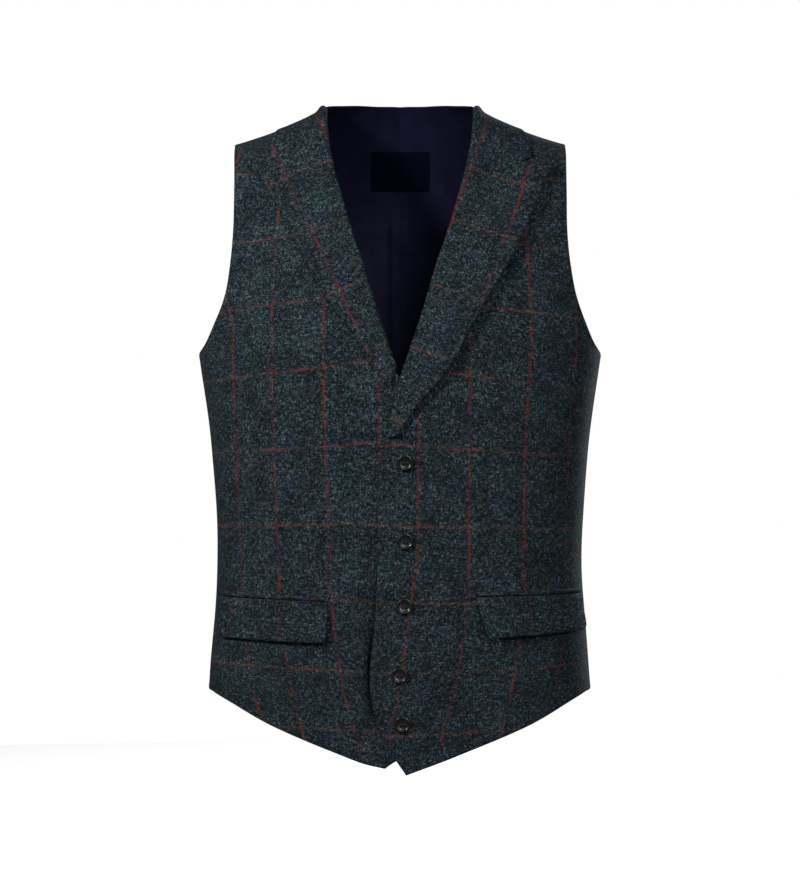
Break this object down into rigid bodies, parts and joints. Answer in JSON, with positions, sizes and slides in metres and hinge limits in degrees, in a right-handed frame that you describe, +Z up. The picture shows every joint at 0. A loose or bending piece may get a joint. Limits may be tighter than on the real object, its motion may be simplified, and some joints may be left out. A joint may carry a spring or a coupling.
{
  "type": "waistcoat",
  "caption": "Single-breasted tweed waistcoat with peak lapels, a buttoned front, flapped pockets, satin back and a cinch strap with a buckle.",
  "frame": {"origin": "middle of the neck opening, level with the neck points of the shoulder seams", "axes": "+Z up, -Y out of the wearer's chest, +X to the wearer's left"},
  "size_m": [0.3834, 0.2147, 0.6361],
  "materials": {
    "tweed": "heather wool twill with a fine windowpane check",
    "navy_satin": "satin lining",
    "pocketing": "plain cotton",
    "label_weave": "woven label",
    "horn": "polished horn look",
    "thread": "twisted thread",
    "buckle_steel": "brushed"
  },
  "bodies": {
    "garment": {"front_left": "tweed", "front_right": "tweed", "facing_left": "tweed", "facing_right": "tweed", "collar_left": "tweed", "collar_right": "tweed", "pocket_jet_upper_left": "tweed", "pocket_jet_upper_right": "tweed", "pocket_jet_lower_left": "tweed", "pocket_jet_lower_right": "tweed", "lining_front_left": "navy_satin", "lining_front_right": "navy_satin", "back_left": "navy_satin", "back_right": "navy_satin", "back_lining_left": "navy_satin", "back_lining_right": "navy_satin", "cinch_strap_left": "navy_satin", "cinch_strap_right": "navy_satin", "pocket_bag_left": "pocketing", "pocket_bag_right": "pocketing", "neck_label": "label_weave"},
    "lapel_left_body": {"lapel_left": "tweed"},
    "lapel_right_body": {"lapel_right": "tweed"},
    "flap_left_body": {"pocket_flap_left": "tweed"},
    "flap_right_body": {"pocket_flap_right": "tweed"},
    "buckle_body": {"cinch_buckle_frame": "buckle_steel"},
    "prong_body": {"cinch_buckle_prongs": "buckle_steel"},
    "button_1_body": {"button_1": "horn", "button_thread_1": "thread"},
    "button_2_body": {"button_2": "horn", "button_thread_2": "thread"},
    "button_3_body": {"button_3": "horn", "button_thread_3": "thread"},
    "button_4_body": {"button_4": "horn", "button_thread_4": "thread"},
    "button_5_body": {"button_5": "horn", "button_thread_5": "thread"}
  },
  "joints": [
    {"name": "lapel_left_lift", "type": "hinge", "parent": "garment", "child": "lapel_left_body", "pos_m": [0.03337, -0.10603, -0.16942], "axis": [-0.2821, -0.1334, -0.9501], "range_deg": [0, 70]},
    {"name": "lapel_right_lift", "type": "hinge", "parent": "garment", "child": "lapel_right_body", "pos_m": [-0.03497, -0.10417, -0.15785], "axis": [-0.3002, 0.1722, 0.9382], "range_deg": [0, 70]},
    {"name": "flap_left_lift", "type": "hinge", "parent": "garment", "child": "flap_left_body", "pos_m": [0.13937, -0.07812, -0.47095], "axis": [-0.8406, -0.5413, -0.0175], "range_deg": [0, 140]},
    {"name": "flap_right_lift", "type": "hinge", "parent": "garment", "child": "flap_right_body", "pos_m": [-0.1313, -0.08302, -0.47463], "axis": [-0.8758, 0.4817, 0.031], "range_deg": [0, 140]},
    {"name": "button_1_twist", "type": "hinge", "parent": "garment", "child": "button_1_body", "pos_m": [0.00473, -0.11011, -0.34541], "axis": [0.0026, -0.9992, -0.0389], "range_deg": [-45, 45]},
    {"name": "button_2_twist", "type": "hinge", "parent": "garment", "child": "button_2_body", "pos_m": [0.00523, -0.10762, -0.41887], "axis": [0.0031, -0.9999, -0.0157], "range_deg": [-45, 45]},
    {"name": "button_3_twist", "type": "hinge", "parent": "garment", "child": "button_3_body", "pos_m": [0.00412, -0.10842, -0.47931], "axis": [0.0021, -0.9993, 0.037], "range_deg": [-45, 45]},
    {"name": "button_4_twist", "type": "hinge", "parent": "garment", "child": "button_4_body", "pos_m": [-0.0004, -0.11107, -0.54354], "axis": [-0.0001, -0.9994, 0.0343], "range_deg": [-45, 45]},
    {"name": "button_5_twist", "type": "hinge", "parent": "garment", "child": "button_5_body", "pos_m": [0.00241, -0.11203, -0.58908], "axis": [0.0009, -0.9999, 0.0111], "range_deg": [-45, 45]},
    {"name": "buckle_tilt", "type": "hinge", "parent": "garment", "child": "buckle_body", "pos_m": [0.015, 0.07755, -0.432], "axis": [0, 0, -1], "range_deg": [0, 60]},
    {"name": "prong_lift", "type": "hinge", "parent": "buckle_body", "child": "prong_body", "pos_m": [0.003, 0.07755, -0.432], "axis": [0, 0, -1], "range_deg": [0, 75]}
  ]
}
